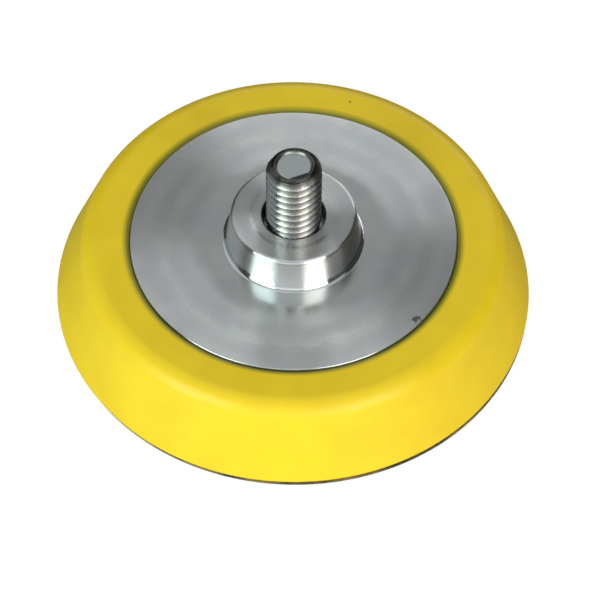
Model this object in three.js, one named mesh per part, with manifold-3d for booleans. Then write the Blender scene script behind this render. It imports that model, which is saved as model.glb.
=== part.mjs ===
// Backing pad for a small rotary polisher: an M6 hex bolt held captive in a turned aluminium hub plate,
// a cast polyurethane foam body round and under the plate, and a hook facing bonded to its sole.
// Millimetres. +Z runs up the bolt, and the origin is the middle of the hook face that the pad rests on.

import * as THREE from "three";
import { mergeVertices } from "three/addons/utils/BufferGeometryUtils.js";
import Module from "manifold-3d";

const wasm = await Module();
wasm.setup();

// ---------------------------------------------------------------- driving dimensions

// Clearances
const mouldGap = 0.2; // between the plate's round faces and the foam cast round them
const headGap = 0.15; // each side between the bolt's hexagon and its pocket

// Hook facing, counted up from the surface that the pad rests on
const facingInset = 0.2; // from the skirt's widest point in to the facing's edge
const hookHeight = 1.0;
const pileInset = 0.75; // bare border of the cloth outside the last row of hooks
const clothThickness = 0.45;
const glueThickness = 0.15;

// Foam body
const foamHeight = 8.9;
const soleRadius = 25.9; // widest point of the skirt, just above the sole
const soleEdge = 0.4; // rounding under the skirt
const shoulderStart = 3.25; // width of the flat ring between the plate and the shoulder
const shoulderRadius = 2.1;
const lipRadius = 0.6; // rounding of the foam towards the plate
const lipProud = 0.1; // how far the foam stands above the plate

// Hub plate
const plateRadius = 17.6;
const plateThickness = 2.0;
const plateChamfer = 0.2;
const bossHeight = 4.0; // above the plate
const bossTopRadius = 6.7; // under the edge rounding
const bossBaseRadius = 7.3; // over the fillet
const bossEdge = 0.4;
const bossFillet = 0.45;
const reliefRadius = 4.8; // shallow turned relief round the bolt
const reliefDepth = 0.08;
const boreClearance = 0.45; // radial, between the bolt's thread and the boss
const boreChamfer = 0.15;
const keyDepth = 0.6; // groove in the plate's rim that the foam grips
const keyWidth = 0.9;

// Bolt, M6 x 1 with a 10 mm hexagon
const threadMajor = 5.9;
const threadPitch = 1.0;
const boltReach = 8.0; // above the boss
const headAcrossFlats = 10.0;
const headHeight = 4.0;
const headChamfer = 0.45;
const tipChamfer = 0.62; // along the bolt
const tipChamferWidth = 0.85; // radial
const tipRim = 0.16; // flat rim round the rolled end's shallow hollow
const dishSlope = 0.2; // radial width of the hollow's sloping side
const dishDepth = 0.2;
const runOut = 0.5; // plain shank between the head and the thread

// Fineness of the faceting
const ringSteps = 64;
const arcSteps = 3; // half the points of each arc in a turned outline
const threadSteps = 24; // to each turn

// ---------------------------------------------------------------- places worked out from them

const facingRadius = soleRadius - facingInset;
const clothBottom = hookHeight;
const glueBottom = clothBottom + clothThickness;
const foamBottom = glueBottom + glueThickness;
const foamTop = foamBottom + foamHeight;
const plateTop = foamTop - lipProud;
const plateBottom = plateTop - plateThickness;
const bossTop = plateTop + bossHeight;
const boltTip = bossTop + boltReach;
const headTop = plateBottom + headHeight;
const pocketRadius = plateRadius + mouldGap; // round wall of the foam's pocket
const shoulderCentre = pocketRadius + shoulderStart;
const boreRadius = threadMajor / 2 + boreClearance;
const keyMiddle = plateBottom + plateThickness / 2;
const tipFaceRadius = threadMajor / 2 - tipChamferWidth;
const dishRadius = tipFaceRadius - tipRim;

// ISO metric thread: a 60 degree triangle, flattened by an eighth at the crest and a quarter at the root
const triangleHeight = (threadPitch * Math.sqrt(3)) / 2;
const threadDepth = (triangleHeight * 17) / 24;
const coreRadius = threadMajor / 2 - threadDepth;

// ---------------------------------------------------------------- solids and booleans

// A solid of revolution about Z from an outline of (radius, height).
function turned(outline) {
  return new THREE.LatheGeometry(outline.getPoints(arcSteps), ringSteps).rotateX(Math.PI / 2);
}

// A plain round disc or shaft.
function disc(radius, bottom, top) {
  return turned(new THREE.Path().moveTo(0, bottom).lineTo(radius, bottom).lineTo(radius, top).lineTo(0, top));
}

// A regular hexagonal prism.
function hexagon(acrossFlats, bottom, height) {
  const corner = acrossFlats / Math.sqrt(3);
  const shape = new THREE.Shape();
  for (let i = 0; i < 6; i++) {
    const angle = (i * Math.PI) / 3;
    const [x, y] = [corner * Math.cos(angle), corner * Math.sin(angle)];
    if (i === 0) shape.moveTo(x, y);
    else shape.lineTo(x, y);
  }
  return new THREE.ExtrudeGeometry(shape, { depth: height, bevelEnabled: false }).translate(0, 0, bottom);
}

function solid(geometry) {
  const bare = geometry.clone();
  bare.deleteAttribute("normal");
  bare.deleteAttribute("uv");
  const merged = mergeVertices(bare, 1e-4);
  const triVerts = new Uint32Array(merged.index.array);
  return new wasm.Manifold(
    new wasm.Mesh({ numProp: 3, vertProperties: merged.attributes.position.array, triVerts }),
  );
}

function geometryOf(manifold) {
  const { vertProperties, triVerts } = manifold.getMesh();
  const geometry = new THREE.BufferGeometry();
  geometry.setAttribute("position", new THREE.BufferAttribute(vertProperties, 3));
  geometry.setIndex(new THREE.BufferAttribute(triVerts, 1));
  geometry.computeVertexNormals();
  return geometry;
}

// ---------------------------------------------------------------- bolt

// The line that the thread's ridge is swept along. Its section stays upright in the bolt's axial plane,
// which is the plane that a thread form is drawn in.
class ThreadHelix extends THREE.Curve {
  constructor(radius, bottom, top) {
    super();
    this.radius = radius;
    this.bottom = bottom;
    this.turns = (top - bottom) / threadPitch;
  }
  getPoint(t, target = new THREE.Vector3()) {
    const angle = 2 * Math.PI * this.turns * t;
    const height = this.bottom + threadPitch * this.turns * t;
    return target.set(this.radius * Math.cos(angle), this.radius * Math.sin(angle), height);
  }
  getSpacedPoints(steps) {
    return this.getPoints(steps);
  }
  computeFrenetFrames(steps) {
    const frames = { tangents: [], normals: [], binormals: [] };
    for (let i = 0; i <= steps; i++) {
      const angle = (2 * Math.PI * this.turns * i) / steps;
      frames.tangents.push(new THREE.Vector3(-Math.sin(angle), Math.cos(angle), 0));
      frames.normals.push(new THREE.Vector3(Math.cos(angle), Math.sin(angle), 0));
      frames.binormals.push(new THREE.Vector3(0, 0, -1));
    }
    return frames;
  }
}

// The ridge's section: x is outward from the helix, y is along the bolt.
function ridgeSection(sunk) {
  const rootHalf = (threadPitch * 3) / 8;
  const crestHalf = threadPitch / 16;
  return new THREE.Shape()
    .moveTo(-sunk, -rootHalf)
    .lineTo(0, -rootHalf)
    .lineTo(threadDepth, -crestHalf)
    .lineTo(threadDepth, crestHalf)
    .lineTo(0, rootHalf)
    .lineTo(-sunk, rootHalf);
}

// The shank's outer form, with the chamfered tip and the shallow hollow that rolling leaves in it.
function shankForm(bottom) {
  const form = new THREE.Path()
    .moveTo(0, bottom)
    .lineTo(threadMajor / 2, bottom)
    .lineTo(threadMajor / 2, boltTip - tipChamfer)
    .lineTo(tipFaceRadius, boltTip)
    .lineTo(dishRadius, boltTip)
    .lineTo(dishRadius - dishSlope, boltTip - dishDepth)
    .lineTo(0, boltTip - dishDepth);
  return turned(form);
}

// The hexagon, with its corners turned off underneath.
function boltHead() {
  const corner = headAcrossFlats / Math.sqrt(3);
  const turnedForm = new THREE.Path()
    .moveTo(0, plateBottom)
    .lineTo(corner - headChamfer * Math.sqrt(3), plateBottom)
    .lineTo(corner, plateBottom + headChamfer)
    .lineTo(corner, headTop)
    .lineTo(0, headTop);
  return solid(hexagon(headAcrossFlats, plateBottom, headHeight)).intersect(solid(turned(turnedForm)));
}

function makeBolt() {
  const threadBottom = headTop + runOut;
  const helix = new ThreadHelix(coreRadius, threadBottom + threadPitch / 2, boltTip + threadPitch);
  const sunk = threadDepth / 4;
  const ridge = new THREE.ExtrudeGeometry(ridgeSection(sunk), {
    steps: Math.round(helix.turns * threadSteps),
    extrudePath: helix,
  });
  const core = disc(coreRadius, headTop - headHeight / 2, boltTip + threadPitch);
  const shank = solid(core).add(solid(ridge)).intersect(solid(shankForm(headTop - headHeight / 2)));
  return geometryOf(shank.add(boltHead()));
}

// ---------------------------------------------------------------- hub plate

// The turned outline, before the hexagon is sunk into its underside.
function hubOutline() {
  const filletCentre = bossBaseRadius + bossFillet;
  return new THREE.Path()
    .moveTo(boreRadius, plateBottom)
    .lineTo(plateRadius - plateChamfer, plateBottom)
    .lineTo(plateRadius, plateBottom + plateChamfer)
    .lineTo(plateRadius, keyMiddle - keyWidth / 2)
    .lineTo(plateRadius - keyDepth, keyMiddle)
    .lineTo(plateRadius, keyMiddle + keyWidth / 2)
    .lineTo(plateRadius, plateTop - plateChamfer)
    .lineTo(plateRadius - plateChamfer, plateTop)
    .lineTo(filletCentre, plateTop)
    .absarc(filletCentre, plateTop + bossFillet, bossFillet, -Math.PI / 2, -Math.PI, true)
    .lineTo(bossTopRadius, bossTop - bossEdge)
    .absarc(bossTopRadius - bossEdge, bossTop - bossEdge, bossEdge, 0, Math.PI / 2, false)
    .lineTo(reliefRadius, bossTop)
    .lineTo(reliefRadius - reliefDepth, bossTop - reliefDepth)
    .lineTo(boreRadius + boreChamfer, bossTop - reliefDepth)
    .lineTo(boreRadius, bossTop - reliefDepth - boreChamfer)
    .closePath();
}

function makeHubPlate() {
  const pocketAcrossFlats = headAcrossFlats + 2 * headGap;
  const pocket = hexagon(pocketAcrossFlats, plateBottom - headHeight, 2 * headHeight);
  return geometryOf(solid(turned(hubOutline())).subtract(solid(pocket)));
}

// ---------------------------------------------------------------- foam body

function makeFoamBody() {
  // The skirt is the straight line that leaves the shoulder's arc and ends at the sole's rounding.
  const arcCentre = new THREE.Vector2(shoulderCentre, foamTop - shoulderRadius);
  const skirtFoot = new THREE.Vector2(soleRadius, foamBottom + soleEdge);
  const toFoot = skirtFoot.clone().sub(arcCentre);
  const skirtAngle = toFoot.angle() - 2 * Math.PI + Math.acos(shoulderRadius / toFoot.length());
  const keyRidge = Math.max(keyDepth - mouldGap, 0);
  const outline = new THREE.Path()
    .moveTo(0, foamBottom)
    .lineTo(soleRadius - soleEdge, foamBottom)
    .absarc(soleRadius - soleEdge, foamBottom + soleEdge, soleEdge, -Math.PI / 2, 0, false)
    .absarc(arcCentre.x, arcCentre.y, shoulderRadius, skirtAngle, Math.PI / 2, false)
    .lineTo(pocketRadius + lipRadius, foamTop)
    .absarc(pocketRadius + lipRadius, foamTop - lipRadius, lipRadius, Math.PI / 2, Math.PI, false)
    .lineTo(pocketRadius, keyMiddle + keyWidth / 2)
    .lineTo(pocketRadius - keyRidge, keyMiddle)
    .lineTo(pocketRadius, keyMiddle - keyWidth / 2)
    .lineTo(pocketRadius, plateBottom)
    .lineTo(0, plateBottom);
  return turned(outline);
}

// ---------------------------------------------------------------- assembly

const pad = new THREE.Group();

function addPart(name, geometry, color, roughness, metalness) {
  const mesh = new THREE.Mesh(geometry, new THREE.MeshStandardMaterial({ color, roughness, metalness }));
  mesh.name = name;
  pad.add(mesh);
}

addPart("stud_bolt", makeBolt(), 0xb9b8ae, 0.32, 1.0);
addPart("hub_plate", makeHubPlate(), 0xc6c9cb, 0.34, 1.0);
addPart("foam_body", makeFoamBody(), 0xf2d91e, 0.42, 0.0);
addPart("glue_film", disc(facingRadius, glueBottom, foamBottom), 0x8a6a2c, 0.5, 0.0);
addPart("hook_cloth", disc(facingRadius, clothBottom, glueBottom), 0x17181a, 0.85, 0.0);
addPart("hook_pile", disc(facingRadius - pileInset, 0, hookHeight), 0x1d1e20, 0.6, 0.0);

export default pad;
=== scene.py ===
"""The looks of a hook-and-loop backing pad: bolt, hub plate, foam body, glue film, hook cloth and hooks."""

import math
import random

import bmesh
import bpy
from mathutils import Matrix, Vector


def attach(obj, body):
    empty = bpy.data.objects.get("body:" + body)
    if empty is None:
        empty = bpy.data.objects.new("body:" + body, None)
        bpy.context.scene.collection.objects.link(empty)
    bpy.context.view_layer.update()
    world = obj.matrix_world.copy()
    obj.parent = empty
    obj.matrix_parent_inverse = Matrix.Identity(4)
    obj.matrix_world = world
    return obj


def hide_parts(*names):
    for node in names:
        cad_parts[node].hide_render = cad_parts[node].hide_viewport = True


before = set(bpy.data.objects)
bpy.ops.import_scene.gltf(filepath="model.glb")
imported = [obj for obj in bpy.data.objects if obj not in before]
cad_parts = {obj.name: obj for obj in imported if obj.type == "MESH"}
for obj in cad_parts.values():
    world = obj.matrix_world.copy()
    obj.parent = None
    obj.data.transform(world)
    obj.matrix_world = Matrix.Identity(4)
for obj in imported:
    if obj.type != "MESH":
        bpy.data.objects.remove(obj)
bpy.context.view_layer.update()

# ---------------------------------------------------------------- sizes in millimetres, as in the CAD

SOLE_RADIUS, SOLE_EDGE = 25.9, 0.4
FACING_RADIUS, PILE_RADIUS = 25.7, 24.95
CLOTH_BOTTOM, GLUE_BOTTOM, FOAM_BOTTOM = 1.0, 1.45, 1.6
FOAM_TOP, PLATE_TOP, PLATE_BOTTOM = 10.5, 10.4, 8.4
SHOULDER_CENTRE, SHOULDER_RADIUS = 21.05, 2.1
PLATE_RADIUS, POCKET_RADIUS, LIP_RADIUS = 17.6, 17.8, 0.6
KEY_MIDDLE, KEY_HALF, KEY_DEPTH = 9.4, 0.45, 0.6
BOSS_TOP, BOSS_TOP_RADIUS, BOSS_BASE_RADIUS = 14.4, 6.7, 7.3
BOSS_EDGE, BOSS_FILLET = 0.4, 0.45
BORE_RADIUS, RELIEF_RADIUS, RELIEF_DEPTH = 3.4, 4.8, 0.08
THREAD_RADIUS, PITCH = 2.95, 1.0
THREAD_DEPTH = PITCH * math.sqrt(3) / 2 * 17 / 24
TIP, HEAD_TOP, HEAD_FLATS, RUN_OUT = 22.4, 12.4, 10.0, 0.5
TIP_FACE, TIP_CHAMFER, DISH_RADIUS, DISH_FLOOR, DISH_DEPTH = 2.1, 0.62, 1.94, 1.74, 0.2

# The separate hooks stand this far apart. The CAD has them as one disc.
HOOK_SPACING = 1.4

MM = 0.001
RING = 224  # facets round the large turned pieces

# The camera, from the middle of the plate's top, in degrees and millimetres.
CAMERA_ELEVATION, CAMERA_ROLL, CAMERA_AWAY = 51.76, 0.63, 300
CAMERA_LENS = 167.4
AIM_RIGHT, AIM_DOWN = 0.75, 6.82


# ---------------------------------------------------------------- shaping


def turn_at(before, corner, after):
    """How far an outline turns at a corner, in radians."""
    first = Vector((corner[0] - before[0], corner[1] - before[1]))
    second = Vector((after[0] - corner[0], after[1] - corner[1]))
    return first.angle(second)


def turned(outline, steps=RING, closed=False, segments=6):
    """A solid turned about Z from corners of (radius, height, rounding).

    Narrow bands beside each rounded corner keep the flats next to it truly flat in the shading."""
    count = len(outline)
    tangent = []
    for i, (_, _, rounding) in enumerate(outline):
        turn = turn_at(outline[i - 1], outline[i], outline[(i + 1) % count]) if rounding else 0
        tangent.append(rounding * math.tan(turn / 2))
    bm = bmesh.new()
    line = []
    for i in range(count if closed else count - 1):
        j = (i + 1) % count
        start, end = Vector(outline[i][:2]), Vector(outline[j][:2])
        length = (end - start).length
        stops = [0.0]
        if tangent[i] and tangent[i] + tangent[j] + 0.3 < length:
            stops.append((tangent[i] + 0.07) / length)
        if tangent[j] and tangent[i] + tangent[j] + 0.3 < length:
            stops.append(1 - (tangent[j] + 0.07) / length)
        line += [start.lerp(end, stop) for stop in stops]
    if not closed:
        line.append(Vector(outline[-1][:2]))
    verts = [bm.verts.new((point.x, 0, point.y)) for point in line]
    edges = [bm.edges.new(pair) for pair in zip(verts, verts[1:])]
    if closed:
        edges.append(bm.edges.new((verts[-1], verts[0])))
    bmesh.ops.spin(
        bm, geom=verts + edges, cent=(0, 0, 0), axis=(0, 0, 1), angle=2 * math.pi, steps=steps, use_merge=True
    )
    bmesh.ops.remove_doubles(bm, verts=bm.verts, dist=1e-4)
    bmesh.ops.recalc_face_normals(bm, faces=bm.faces)
    for (radius, height, rounding), reach in zip(outline, tangent):
        if not rounding:
            continue
        ring = [edge for edge in bm.edges if all(on_ring(v.co, radius, height) for v in edge.verts)]
        bmesh.ops.bevel(
            bm,
            geom=ring,
            offset=reach,
            offset_type="OFFSET",
            segments=segments,
            profile=0.5,
            affect="EDGES",
            material=-1,
            clamp_overlap=False,
        )
    return bm


def on_ring(place, radius, height):
    return abs(math.hypot(place.x, place.y) - radius) < 0.003 and abs(place.z - height) < 0.003


def as_object(name, bm):
    mesh = bpy.data.meshes.new(name)
    bm.to_mesh(mesh)
    bm.free()
    obj = bpy.data.objects.new(name, mesh)
    bpy.context.scene.collection.objects.link(obj)
    return obj


def combined(first, second, operation):
    """One bmesh from two closed ones, by an exact boolean."""
    a, b = as_object("first", first), as_object("second", second)
    modifier = a.modifiers.new("combine", "BOOLEAN")
    modifier.operation, modifier.solver, modifier.object = operation, "EXACT", b
    bpy.context.view_layer.update()
    bm = bmesh.new()
    bm.from_object(a, bpy.context.evaluated_depsgraph_get())
    for obj in (a, b):
        mesh = obj.data
        bpy.data.objects.remove(obj)
        bpy.data.meshes.remove(mesh)
    bmesh.ops.remove_doubles(bm, verts=bm.verts, dist=1e-4)
    return bm


def finished(name, bm, material, node, crease=32):
    """The piece itself, in metres, smooth except at edges sharper than the crease."""
    bmesh.ops.recalc_face_normals(bm, faces=bm.faces)
    bmesh.ops.scale(bm, vec=(MM, MM, MM), verts=bm.verts)
    for face in bm.faces:
        face.smooth = True
    for edge in bm.edges:
        edge.smooth = edge.calc_face_angle(0) < math.radians(crease)
    obj = as_object(name, bm)
    obj.data.materials.append(material)
    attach(obj, "root")
    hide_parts(node)
    return obj


# ---------------------------------------------------------------- materials


def linear(hexadecimal):
    """An sRGB hex colour as linear red, green, blue and alpha."""
    parts = [int(hexadecimal[i : i + 2], 16) / 255 for i in (1, 3, 5)]
    return [c / 12.92 if c <= 0.04045 else ((c + 0.055) / 1.055) ** 2.4 for c in parts] + [1.0]


def add(tree, kind, inputs=None, **settings):
    """Adds one shader node, with its settings, and values or links for its inputs."""
    made = tree.nodes.new("ShaderNode" + kind)
    for key, value in settings.items():
        setattr(made, key, value)
    for key, value in (inputs or {}).items():
        if isinstance(value, bpy.types.NodeSocket):
            tree.links.new(value, made.inputs[key])
        else:
            made.inputs[key].default_value = value
    return made


def new_material(name):
    material = bpy.data.materials.new(name)
    material.use_nodes = True
    tree = material.node_tree
    tree.nodes.clear()
    return material, tree


def mapped(tree, value, start, end, low=0.0, high=1.0):
    """A value carried evenly from the range start to end onto low to high, and held there beyond it."""
    span = {"From Min": start, "From Max": end, "To Min": low, "To Max": high}
    return add(tree, "MapRange", {"Value": value, **span}).outputs["Result"]


def ramp(tree, factor, *stops):
    """A colour ramp over (position, value or hex colour) stops."""
    made = add(tree, "ValToRGB", {"Fac": factor})
    elements = made.color_ramp.elements
    while len(elements) < len(stops):
        elements.new(0.5)
    for element, (position, value) in zip(elements, stops):
        element.position = position
        element.color = linear(value) if isinstance(value, str) else (value, value, value, 1)
    return made.outputs["Color"]


def turned_aluminium():
    """Aluminium bar faced and turned on a lathe: fine grooves round the axis throw the light out in a fan
    across them, so that the disc shows bright and dark sectors."""
    material, tree = new_material("turned_aluminium")
    place = add(tree, "TexCoord").outputs["Object"]
    flat = add(tree, "VectorMath", {0: place, 1: (1, 1, 0)}, operation="MULTIPLY").outputs["Vector"]
    radius = add(tree, "VectorMath", {0: flat}, operation="LENGTH").outputs["Value"]
    height = add(tree, "SeparateXYZ", {"Vector": place}).outputs["Z"]
    along = add(tree, "Math", {0: radius, 1: height}, operation="ADD").outputs["Value"]
    # The tool's feed is about 0.1 mm a turn; drawn at 0.22 mm so that it shows.
    feed = add(
        tree,
        "TexNoise",
        {"W": along, "Scale": 1 / (0.22 * MM), "Detail": 1.0, "Roughness": 0.6},
        noise_dimensions="1D",
    ).outputs["Fac"]
    # The facing cut wanders a little every couple of millimetres.
    waves = add(
        tree, "TexNoise", {"W": along, "Scale": 1 / (1.6 * MM), "Detail": 0.0}, noise_dimensions="1D"
    ).outputs["Fac"]
    # Handling marks and oxide clouds some 4 mm across.
    cloud = add(tree, "TexNoise", {"Vector": place, "Scale": 1 / (4 * MM), "Detail": 3.0}).outputs["Fac"]
    rings = add(tree, "Bump", {"Height": feed, "Strength": 0.1, "Distance": 0.004 * MM})
    bands = add(
        tree, "Bump", {"Height": waves, "Strength": 0.2, "Distance": 0.006 * MM, "Normal": rings.outputs[0]}
    )
    mixed = add(tree, "Math", {0: waves, 1: cloud}, operation="MULTIPLY").outputs["Value"]
    face = mapped(tree, mixed, 0.1, 0.45, 0.23, 0.29)
    # How far up the boss: its wall was cut coarser than the faces, and its rounded edges were buffed.
    level = mapped(tree, height, PLATE_TOP * MM, BOSS_TOP * MM)
    extra = ramp(tree, level, (0.0, 0.0), (0.15, 0.0), (0.2, 0.14), (0.82, 0.14), (0.88, 0.0))
    rougher = add(tree, "Math", {0: face, 1: extra}, operation="ADD").outputs["Value"]
    # The tool slowed towards the foot of the boss and left the face brighter there.
    close = mapped(tree, radius, 12 * MM, 9.5 * MM)
    low = mapped(tree, height, 11 * MM, 10.6 * MM)
    foot = add(tree, "Math", {0: close, 1: low}, operation="MULTIPLY").outputs["Value"]
    bright = add(tree, "Math", {0: foot, 1: -0.12, 2: rougher}, operation="MULTIPLY_ADD")
    clean = ramp(tree, cloud, (0.3, "#D3D8D9"), (0.7, "#DFE2E2"))
    # Painted shade: the bore is darkened where it lies in shadow round the stud's thread.
    bore_shade = mapped(tree, radius, (BORE_RADIUS + 0.1) * MM, BORE_RADIUS * MM)
    shaded_bore = add(tree, "Mix", {"Factor": bore_shade, "A": clean, "B": linear("#2A2C2C")}, data_type="RGBA")
    # One knock on the face, a ragged dull nick of about half a millimetre.
    knock = (13.0 * MM, -10.9 * MM, 0)
    away = add(tree, "VectorMath", {0: flat, 1: knock}, operation="DISTANCE").outputs["Value"]
    ragged = add(tree, "TexNoise", {"Vector": place, "Scale": 1 / (0.35 * MM), "Detail": 2.0}).outputs["Fac"]
    spread = add(tree, "Math", {0: ragged, 1: -1.6 * MM, 2: away}, operation="MULTIPLY_ADD").outputs["Value"]
    nick = mapped(tree, spread, -0.4 * MM, -0.65 * MM)
    colour = add(
        tree,
        "Mix",
        {"Factor": nick, "A": shaded_bore.outputs["Result"], "B": linear("#7C8283")},
        data_type="RGBA",
    )
    tangent = add(tree, "Tangent", direction_type="RADIAL", axis="Z").outputs["Tangent"]
    metal = add(
        tree,
        "BsdfPrincipled",
        {
            "Base Color": colour.outputs["Result"],
            "Metallic": 1.0,
            "Roughness": bright.outputs["Value"],
            "Anisotropic": 0.97,
            "Anisotropic Rotation": 0.25,
            "Tangent": tangent,
            "Normal": bands.outputs["Normal"],
        },
    )
    add(tree, "OutputMaterial", {"Surface": metal.outputs["BSDF"]})
    return material


def zinc_plated_steel():
    """Rolled steel thread under bright zinc: satin, with painted shade down in the roots and a painted
    highlight on the crests.
    """
    material, tree = new_material("zinc_plated_steel")
    place = add(tree, "TexCoord").outputs["Object"]
    flat = add(tree, "VectorMath", {0: place, 1: (1, 1, 0)}, operation="MULTIPLY").outputs["Vector"]
    radius = add(tree, "VectorMath", {0: flat}, operation="LENGTH").outputs["Value"]
    depth = mapped(tree, radius, (THREAD_RADIUS - THREAD_DEPTH) * MM, THREAD_RADIUS * MM)
    grain = add(tree, "TexNoise", {"Vector": place, "Scale": 1 / (0.35 * MM), "Detail": 3.0}).outputs["Fac"]
    cloud = add(tree, "TexNoise", {"Vector": place, "Scale": 1 / (1.5 * MM), "Detail": 2.0}).outputs["Fac"]
    # Painted shade darkens the thread towards its roots, and a painted highlight lightens its crests.
    root_shade_crest_light = ramp(tree, depth, (0.0, "#6C6C66"), (0.55, "#A5A6A2"), (1.0, "#DADCDA"))
    shade = ramp(tree, cloud, (0.3, 0.86), (0.7, 1.0))
    clouded = add(
        tree, "Mix", {"Factor": 1.0, "A": root_shade_crest_light, "B": shade}, data_type="RGBA", blend_type="MULTIPLY"
    )
    rough = mapped(tree, grain, 0.3, 0.7, 0.22, 0.3)
    # The sheared end of the bolt is dull and pale.
    end = mapped(tree, radius, (DISH_RADIUS - 0.02) * MM, (DISH_FLOOR - 0.02) * MM)
    dull = add(tree, "Math", {0: end, 1: 0.12, 2: rough}, operation="MULTIPLY_ADD").outputs["Value"]
    # A crescent of painted shadow darkens the front side of the end's hollow, where the rim shades it.
    side = add(tree, "VectorMath", {0: place, 1: (0.4, -0.92, 0)}, operation="DOT_PRODUCT").outputs["Value"]
    dish_shadow = mapped(tree, side, 1.25 * MM, 1.4 * MM)
    pale_end_and_shadow = ramp(tree, dish_shadow, (0.0, "#BAC4C3"), (1.0, "#3A484D"))
    colour = add(tree, "Mix", {"Factor": end, "A": clouded.outputs["Result"], "B": pale_end_and_shadow}, data_type="RGBA")
    bump = add(tree, "Bump", {"Height": grain, "Strength": 0.1, "Distance": 0.003 * MM})
    metal = add(
        tree,
        "BsdfPrincipled",
        {
            "Base Color": colour.outputs["Result"],
            "Metallic": 1.0,
            "Roughness": dull,
            "Normal": bump.outputs["Normal"],
        },
    )
    add(tree, "OutputMaterial", {"Surface": metal.outputs["BSDF"]})
    return material


def yellow_foam():
    """Polyurethane cast against a waxed mould: a closed, half-gloss skin with a faint orange peel, cloudy
    pigment and a few burst bubbles."""
    material, tree = new_material("yellow_polyurethane_skin")
    place = add(tree, "TexCoord").outputs["Object"]
    peel = add(tree, "TexNoise", {"Vector": place, "Scale": 1 / (0.5 * MM), "Detail": 2.0}).outputs["Fac"]
    swell = add(tree, "TexNoise", {"Vector": place, "Scale": 1 / (5 * MM), "Detail": 2.0}).outputs["Fac"]
    cells = add(tree, "TexVoronoi", {"Vector": place, "Scale": 1 / (3.2 * MM), "Randomness": 1.0})
    # A few cells hold a burst bubble of about 0.2 mm.
    chosen = add(
        tree, "Math", {0: cells.outputs["Color"], 1: 0.86}, operation="GREATER_THAN"
    ).outputs["Value"]
    near = mapped(tree, cells.outputs["Distance"], 0.05, 0.025)
    bubble = add(tree, "Math", {0: chosen, 1: near}, operation="MULTIPLY").outputs["Value"]
    pigment = ramp(tree, swell, (0.3, "#E2C21C"), (0.7, "#E8CA20"))
    speckled = add(tree, "Mix", {"Factor": bubble, "A": pigment, "B": linear("#7A6410")}, data_type="RGBA")
    # Painted shade darkens the foam in the narrow gap round the plate.
    flat = add(tree, "VectorMath", {0: place, 1: (1, 1, 0)}, operation="MULTIPLY").outputs["Vector"]
    radius = add(tree, "VectorMath", {0: flat}, operation="LENGTH").outputs["Value"]
    gap_shade = mapped(tree, radius, (POCKET_RADIUS + 0.7) * MM, (POCKET_RADIUS + 0.1) * MM)
    colour = add(
        tree,
        "Mix",
        {"Factor": gap_shade, "A": speckled.outputs["Result"], "B": linear("#7D7A1E")},
        data_type="RGBA",
    )
    rough = mapped(tree, peel, 0.3, 0.7, 0.29, 0.37)
    skin = add(tree, "Bump", {"Height": peel, "Strength": 0.25, "Distance": 0.02 * MM})
    body = add(
        tree, "Bump", {"Height": swell, "Strength": 0.4, "Distance": 0.12 * MM, "Normal": skin.outputs[0]}
    )
    pits = add(
        tree,
        "Bump",
        {"Height": bubble, "Strength": 0.8, "Distance": 0.08 * MM, "Normal": body.outputs[0]},
        invert=True,
    )
    foam = add(
        tree,
        "BsdfPrincipled",
        {
            "Base Color": colour.outputs["Result"],
            "Roughness": rough,
            "Normal": pits.outputs["Normal"],
            "IOR": 1.4,
        },
    )
    add(tree, "OutputMaterial", {"Surface": foam.outputs["BSDF"]})
    return material


def contact_glue():
    """Dried contact cement: amber, half clear, a little glossy at its edge."""
    material, tree = new_material("contact_cement")
    place = add(tree, "TexCoord").outputs["Object"]
    blotch = add(tree, "TexNoise", {"Vector": place, "Scale": 1 / (1.2 * MM), "Detail": 3.0}).outputs["Fac"]
    colour = ramp(tree, blotch, (0.3, "#5E4518"), (0.7, "#8A6A2C"))
    bump = add(tree, "Bump", {"Height": blotch, "Strength": 0.4, "Distance": 0.05 * MM})
    glue = add(
        tree, "BsdfPrincipled", {"Base Color": colour, "Roughness": 0.35, "Normal": bump.outputs["Normal"]}
    )
    add(tree, "OutputMaterial", {"Surface": glue.outputs["BSDF"]})
    return material


def black_hook_cloth():
    """Nylon backing cloth in a plain weave of 0.5 mm threads, dull and slightly dusty."""
    material, tree = new_material("black_nylon_cloth")
    place = add(tree, "TexCoord").outputs["Object"]
    across = add(
        tree, "TexWave", {"Vector": place, "Scale": 0.31 / (0.5 * MM), "Distortion": 0.6}, bands_direction="X"
    ).outputs["Fac"]
    down = add(
        tree, "TexWave", {"Vector": place, "Scale": 0.31 / (0.5 * MM), "Distortion": 0.6}, bands_direction="Y"
    ).outputs["Fac"]
    weave = add(tree, "Math", {0: across, 1: down}, operation="MULTIPLY").outputs["Value"]
    woven = ramp(tree, weave, (0.0, "#12110D"), (1.0, "#35312A"))
    # Glue has soaked into stretches of the cut edge.
    flat = add(tree, "VectorMath", {0: place, 1: (1, 1, 0)}, operation="MULTIPLY").outputs["Vector"]
    radius = add(tree, "VectorMath", {0: flat}, operation="LENGTH").outputs["Value"]
    cut = mapped(tree, radius, (FACING_RADIUS - 0.5) * MM, (FACING_RADIUS - 0.25) * MM)
    patch = add(tree, "TexNoise", {"Vector": place, "Scale": 1 / (3 * MM), "Detail": 3.0}).outputs["Fac"]
    soaked = mapped(tree, patch, 0.35, 0.6)
    amber = add(tree, "Math", {0: cut, 1: soaked}, operation="MULTIPLY").outputs["Value"]
    mixed = add(tree, "Mix", {"Factor": amber, "A": woven, "B": linear("#6E5C1E")}, data_type="RGBA")
    colour = mixed.outputs["Result"]
    bump = add(tree, "Bump", {"Height": weave, "Strength": 0.6, "Distance": 0.08 * MM})
    cloth = add(
        tree,
        "BsdfPrincipled",
        {"Base Color": colour, "Roughness": 0.8, "Sheen Weight": 0.2, "Normal": bump.outputs["Normal"]},
    )
    add(tree, "OutputMaterial", {"Surface": cloth.outputs["BSDF"]})
    return material


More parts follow.
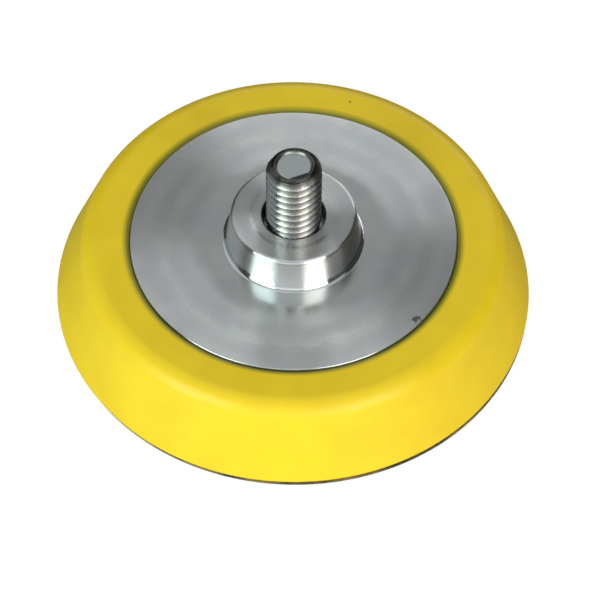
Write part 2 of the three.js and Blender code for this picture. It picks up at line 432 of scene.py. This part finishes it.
def black_nylon_hooks():
    """Moulded nylon mushrooms: smooth, black, with rubbed caps."""
    material, tree = new_material("black_moulded_nylon")
    place = add(tree, "TexCoord").outputs["Object"]
    rub = add(tree, "TexNoise", {"Vector": place, "Scale": 1 / (0.6 * MM), "Detail": 2.0}).outputs["Fac"]
    colour = ramp(tree, rub, (0.35, "#131314"), (0.75, "#28292B"))
    rough = mapped(tree, rub, 0, 1, 0.35, 0.6)
    nylon = add(tree, "BsdfPrincipled", {"Base Color": colour, "Roughness": rough})
    add(tree, "OutputMaterial", {"Surface": nylon.outputs["BSDF"]})
    return material


# ---------------------------------------------------------------- bolt


def hexagon(across_flats, bottom, top):
    bm = bmesh.new()
    bmesh.ops.create_circle(bm, cap_ends=True, segments=6, radius=across_flats / math.sqrt(3))
    bmesh.ops.rotate(bm, verts=bm.verts, cent=(0, 0, 0), matrix=Matrix.Rotation(math.radians(30), 3, "Z"))
    bmesh.ops.translate(bm, vec=(0, 0, bottom), verts=bm.verts)
    raised = bmesh.ops.extrude_face_region(bm, geom=bm.faces[:])
    lifted = [v for v in raised["geom"] if isinstance(v, bmesh.types.BMVert)]
    bmesh.ops.translate(bm, vec=(0, 0, top - bottom), verts=lifted)
    bmesh.ops.recalc_face_normals(bm, faces=bm.faces)
    return bm


def thread(bottom, top):
    """A right-hand thread from one pitch of its outline, swept up and round, cut square at both ends."""
    steps = 72
    turns = math.ceil((top - bottom) / PITCH) + 3
    root, crest = THREAD_RADIUS - THREAD_DEPTH, THREAD_RADIUS
    start = bottom - 1.5 * PITCH
    bm = bmesh.new()
    outline = [(root, 0), (root, 0.11), (root + 0.04, 0.155), (crest - 0.03, 0.42), (crest, 0.46)]
    outline += [(radius, 1 - height) for radius, height in reversed(outline)]
    verts = [bm.verts.new((radius, 0, start + height * PITCH)) for radius, height in outline]
    edges = [bm.edges.new(pair) for pair in zip(verts, verts[1:])]
    bmesh.ops.spin(
        bm,
        geom=verts + edges,
        cent=(0, 0, 0),
        axis=(0, 0, 1),
        dvec=(0, 0, PITCH / steps),
        angle=2 * math.pi * turns,
        steps=steps * turns,
    )
    bmesh.ops.remove_doubles(bm, verts=bm.verts, dist=1e-4)
    for height, away in ((bottom, -1), (top, 1)):
        bmesh.ops.bisect_plane(
            bm,
            geom=bm.verts[:] + bm.edges[:] + bm.faces[:],
            dist=1e-6,
            plane_co=(0, 0, height),
            plane_no=(0, 0, away),
            clear_outer=True,
        )
    bmesh.ops.edgeloop_fill(bm, edges=[edge for edge in bm.edges if edge.is_boundary])
    bmesh.ops.recalc_face_normals(bm, faces=bm.faces)
    return bm


def make_bolt():
    shank_top = TIP + 0.5
    screw = thread(HEAD_TOP + RUN_OUT, shank_top)
    blank = turned(
        [
            (0, HEAD_TOP + RUN_OUT, 0),
            (THREAD_RADIUS - 0.3, HEAD_TOP + RUN_OUT, 0),
            (THREAD_RADIUS + 0.001, HEAD_TOP + RUN_OUT + 0.3, 0),
            (THREAD_RADIUS + 0.001, TIP - TIP_CHAMFER, 0.2),
            (TIP_FACE, TIP, 0.12),
            (DISH_RADIUS, TIP, 0.05),
            (DISH_FLOOR, TIP - DISH_DEPTH, 0.12),
            (0, TIP - DISH_DEPTH, 0),
        ],
        steps=96,
    )
    shank = combined(screw, blank, "INTERSECT")
    neck = turned(
        [
            (0, HEAD_TOP - 2, 0),
            (THREAD_RADIUS - THREAD_DEPTH, HEAD_TOP - 2, 0),
            (THREAD_RADIUS - THREAD_DEPTH, HEAD_TOP + RUN_OUT + 0.4, 0),
            (0, HEAD_TOP + RUN_OUT + 0.4, 0),
        ],
        steps=72,
    )
    corner = HEAD_FLATS / math.sqrt(3)
    washer_face = turned(
        [
            (0, PLATE_BOTTOM, 0),
            (corner - 0.78, PLATE_BOTTOM, 0),
            (corner, PLATE_BOTTOM + 0.45, 0),
            (corner, HEAD_TOP, 0),
            (0, HEAD_TOP, 0),
        ],
        steps=72,
    )
    head = combined(hexagon(HEAD_FLATS, PLATE_BOTTOM, HEAD_TOP), washer_face, "INTERSECT")
    bm = combined(combined(shank, neck, "UNION"), head, "UNION")
    return finished("stud_bolt_detail", bm, zinc_plated_steel(), "stud_bolt", crease=50)


# ---------------------------------------------------------------- hub plate


def make_hub_plate():
    outline = [
        (BORE_RADIUS, PLATE_BOTTOM, 0),
        (PLATE_RADIUS, PLATE_BOTTOM, 0.2),
        (PLATE_RADIUS, KEY_MIDDLE - KEY_HALF, 0),
        (PLATE_RADIUS - KEY_DEPTH, KEY_MIDDLE, 0),
        (PLATE_RADIUS, KEY_MIDDLE + KEY_HALF, 0),
        (PLATE_RADIUS, PLATE_TOP, 0.12),
        (BOSS_BASE_RADIUS, PLATE_TOP, BOSS_FILLET),
        (BOSS_TOP_RADIUS, BOSS_TOP, BOSS_EDGE),
        (RELIEF_RADIUS, BOSS_TOP, 1.5),
        (RELIEF_RADIUS - RELIEF_DEPTH * 6, BOSS_TOP - RELIEF_DEPTH, 1.5),
        (BORE_RADIUS, BOSS_TOP - RELIEF_DEPTH, 0.16),
    ]
    plate = turned(outline, closed=True)
    pocket = hexagon(HEAD_FLATS + 0.3, PLATE_BOTTOM - 1, HEAD_TOP)
    bm = combined(plate, pocket, "DIFFERENCE")
    return finished("hub_plate_detail", bm, turned_aluminium(), "hub_plate")


# ---------------------------------------------------------------- foam body


def make_foam_body():
    centre = Vector((SHOULDER_CENTRE, FOAM_TOP - SHOULDER_RADIUS))
    foot = Vector((SOLE_RADIUS, FOAM_BOTTOM + SOLE_EDGE))
    reach = foot - centre
    lean = math.atan2(reach.y, reach.x) + math.acos(SHOULDER_RADIUS / reach.length)
    across = Vector((math.cos(lean), math.sin(lean)))

    def on_skirt(height):
        return (across.dot(foot) - across.y * height) / across.x

    # Under its lip the foam is cast against the plate's rim, where the CAD leaves a gap.
    grip = PLATE_RADIUS + 0.03
    outline = [
        (0, FOAM_BOTTOM, 0),
        (on_skirt(FOAM_BOTTOM), FOAM_BOTTOM, SOLE_EDGE),
        (on_skirt(FOAM_TOP), FOAM_TOP, SHOULDER_RADIUS),
        (POCKET_RADIUS + 0.3, FOAM_TOP, LIP_RADIUS),
        (grip + 0.05, PLATE_TOP - 0.2, 0.1),
        (grip, PLATE_TOP - 0.4, 0),
        (grip, KEY_MIDDLE + KEY_HALF, 0),
        (grip - KEY_DEPTH, KEY_MIDDLE, 0),
        (grip, KEY_MIDDLE - KEY_HALF, 0),
        (grip, PLATE_BOTTOM, 0),
        (0, PLATE_BOTTOM, 0),
    ]
    bm = turned(outline, segments=10)
    obj = finished("foam_body_cast", bm, yellow_foam(), "foam_body")
    return obj


# ---------------------------------------------------------------- hook facing


def glued_on(bm):
    """The facing was stuck on by hand, about 0.14 mm to the right."""
    bmesh.ops.translate(bm, vec=(0.14, -0.03, 0), verts=bm.verts)
    return bm


def make_glue_film():
    radius = FACING_RADIUS - 0.25
    bm = turned(
        [(0, GLUE_BOTTOM, 0), (radius, GLUE_BOTTOM, 0), (radius, FOAM_BOTTOM, 0), (0, FOAM_BOTTOM, 0)]
    )
    # The spread edge wanders in and out by a tenth of a millimetre or so.
    for v in bm.verts:
        angle = math.atan2(v.co.y, v.co.x)
        ripple = math.sin(7 * angle) + 0.7 * math.sin(17 * angle + 1) + 0.5 * math.sin(31 * angle + 2)
        wander = 0.004 * ripple
        v.co.x, v.co.y = v.co.x * (1 + wander), v.co.y * (1 + wander)
    return finished("glue_film_spread", glued_on(bm), contact_glue(), "glue_film")


def make_hook_cloth():
    bm = turned(
        [
            (0, CLOTH_BOTTOM, 0),
            (FACING_RADIUS, CLOTH_BOTTOM, 0.12),
            (FACING_RADIUS, GLUE_BOTTOM, 0.12),
            (0, GLUE_BOTTOM, 0),
        ],
        segments=3,
    )
    obj = finished("hook_cloth_disc", glued_on(bm), black_hook_cloth(), "hook_cloth")
    return obj


def one_hook():
    """A stem with a domed cap, standing on z = 0 and pointing down."""
    bm = bmesh.new()
    stem, cap = Matrix.Translation((0, 0, -0.4)), Matrix.Translation((0, 0, -0.9))
    bmesh.ops.create_cone(
        bm, cap_ends=True, segments=7, radius1=0.13, radius2=0.19, depth=0.8, matrix=stem
    )
    bmesh.ops.create_cone(
        bm, cap_ends=True, segments=8, radius1=0.2, radius2=0.34, depth=0.16, matrix=cap
    )
    return bm


def make_hooks():
    """Rows of hooks, every second row set over by half the spacing."""
    dice = random.Random(7)
    hook = bpy.data.meshes.new("hook")
    pattern = one_hook()
    pattern.to_mesh(hook)
    pattern.free()
    bm = bmesh.new()
    count = math.ceil(PILE_RADIUS / HOOK_SPACING) + 1
    for row in range(-count, count + 1):
        for column in range(-count, count + 1):
            x = (column + 0.5 * (row % 2)) * HOOK_SPACING
            y = row * HOOK_SPACING * 0.9
            if math.hypot(x, y) > PILE_RADIUS - 0.36:
                continue
            fresh = len(bm.verts)
            bm.from_mesh(hook)
            bm.verts.ensure_lookup_table()
            lean = Matrix.Rotation(dice.uniform(-0.06, 0.06), 4, "X")
            lean = lean @ Matrix.Rotation(dice.uniform(-0.06, 0.06), 4, "Y")
            spun = Matrix.Rotation(dice.uniform(0, 1), 4, "Z")
            spot = Matrix.Translation((x, y, CLOTH_BOTTOM)) @ lean @ spun
            bmesh.ops.transform(bm, matrix=spot, verts=bm.verts[fresh:])
    bpy.data.meshes.remove(hook)
    return finished("hook_field", glued_on(bm), black_nylon_hooks(), "hook_pile", crease=60)


make_bolt()
make_hub_plate()
make_foam_body()
make_glue_film()
make_hook_cloth()
make_hooks()

# ---------------------------------------------------------------- studio


def pale_floor():
    """A white acrylic table lit from below, open from underneath so that the sole can be looked at."""
    material, tree = new_material("lit_white_table")
    diffuse = add(tree, "BsdfDiffuse", {"Color": (0.3, 0.3, 0.3, 1)})
    glow = add(tree, "Emission", {"Color": (1, 1, 1, 1), "Strength": 0.84})
    both = add(tree, "AddShader", {0: diffuse.outputs[0], 1: glow.outputs[0]})
    under = add(tree, "NewGeometry").outputs["Backfacing"]
    clear = add(tree, "BsdfTransparent")
    shown = add(tree, "MixShader", {0: under, 1: both.outputs[0], 2: clear.outputs[0]})
    add(tree, "OutputMaterial", {"Surface": shown.outputs[0]})
    bm = bmesh.new()
    bmesh.ops.create_grid(bm, x_segments=1, y_segments=1, size=1.5)
    floor = as_object("floor", bm)
    floor.data.materials.append(material)
    floor.location.z = -0.00002
    floor.visible_glossy = False


def direction(azimuth, elevation):
    """From the pad towards something at that azimuth, to the right of the camera's side, and elevation."""
    a, e = math.radians(azimuth), math.radians(elevation)
    return Vector((math.sin(a) * math.cos(e), -math.cos(a) * math.cos(e), math.sin(e)))


def softbox(name, azimuth, elevation, width, height, radiance, colour):
    """A rectangular light 0.6 m away, width and height in degrees as the pad sees them."""
    away = 0.6
    data = bpy.data.lights.new(name, "AREA")
    data.shape = "RECTANGLE"
    data.size = 2 * away * math.tan(math.radians(width / 2))
    data.size_y = 2 * away * math.tan(math.radians(height / 2))
    data.energy = radiance * math.pi * data.size * data.size_y
    data.color = linear(colour)[:3]
    lamp = bpy.data.objects.new(name, data)
    bpy.context.scene.collection.objects.link(lamp)
    lamp.location = Vector((0, 0, 0.01)) + direction(azimuth, elevation) * away
    lamp.rotation_mode = "QUATERNION"
    lamp.rotation_quaternion = direction(azimuth, elevation).to_track_quat("Z", "Y")


def make_studio():
    pale_floor()
    softbox("left_key", -46.5, 22.5, 31, 45, 4.5, "#F0FFF8")
    softbox("right_key", 33.5, 22.5, 29, 45, 4.3, "#FFFAF0")
    softbox("front_wall", -6, 19, 46, 38, 1.1, "#FFFFFF")
    softbox("left_wall", -105, 22, 40, 40, 0.3, "#E8F2FF")
    softbox("back_wall", 165, 26, 48, 26, 1.5, "#FDFEFF")
    # Reflectors hang over the table: a bright one each side, a dimmer one in front and behind.
    for name, azimuth, strength in (
        ("high_right", 60, 0.5),
        ("high_left", -120, 0.5),
        ("high_front", 0, 0.3),
        ("high_back", 180, 0.3),
    ):
        softbox(name, azimuth, 50, 40, 30, strength, "#FFFFFF")
    softbox("ceiling", 0, 90, 45, 45, 0.75, "#FFFFFF")
    scene = bpy.context.scene
    world = bpy.data.worlds.new("room")
    world.use_nodes = True
    world.node_tree.nodes["Background"].inputs["Color"].default_value = (0.04, 0.04, 0.04, 1)
    scene.world = world
    scene.view_settings.view_transform = "Standard"
    scene.view_settings.look = "None"


def make_camera():
    """A long lens looking down on the plate, held a touch off level."""
    scene = bpy.context.scene
    data = bpy.data.cameras.new("camera")
    data.sensor_width, data.lens = 36.0, CAMERA_LENS
    data.clip_start, data.clip_end = 0.01, 10
    camera = bpy.data.objects.new("camera", data)
    scene.collection.objects.link(camera)
    plate = Vector((0, 0, PLATE_TOP * MM))
    camera.location = plate + direction(0, CAMERA_ELEVATION) * CAMERA_AWAY * MM
    elevation = math.radians(CAMERA_ELEVATION)
    up = Vector((0, math.sin(elevation), math.cos(elevation)))
    aim = plate + Vector((AIM_RIGHT, 0, 0)) * MM - up * AIM_DOWN * MM
    camera.rotation_mode = "QUATERNION"
    level = (camera.location - aim).to_track_quat("Z", "Y")
    camera.rotation_quaternion = level @ Matrix.Rotation(math.radians(CAMERA_ROLL), 3, "Z").to_quaternion()
    scene.camera = camera


make_studio()
make_camera()
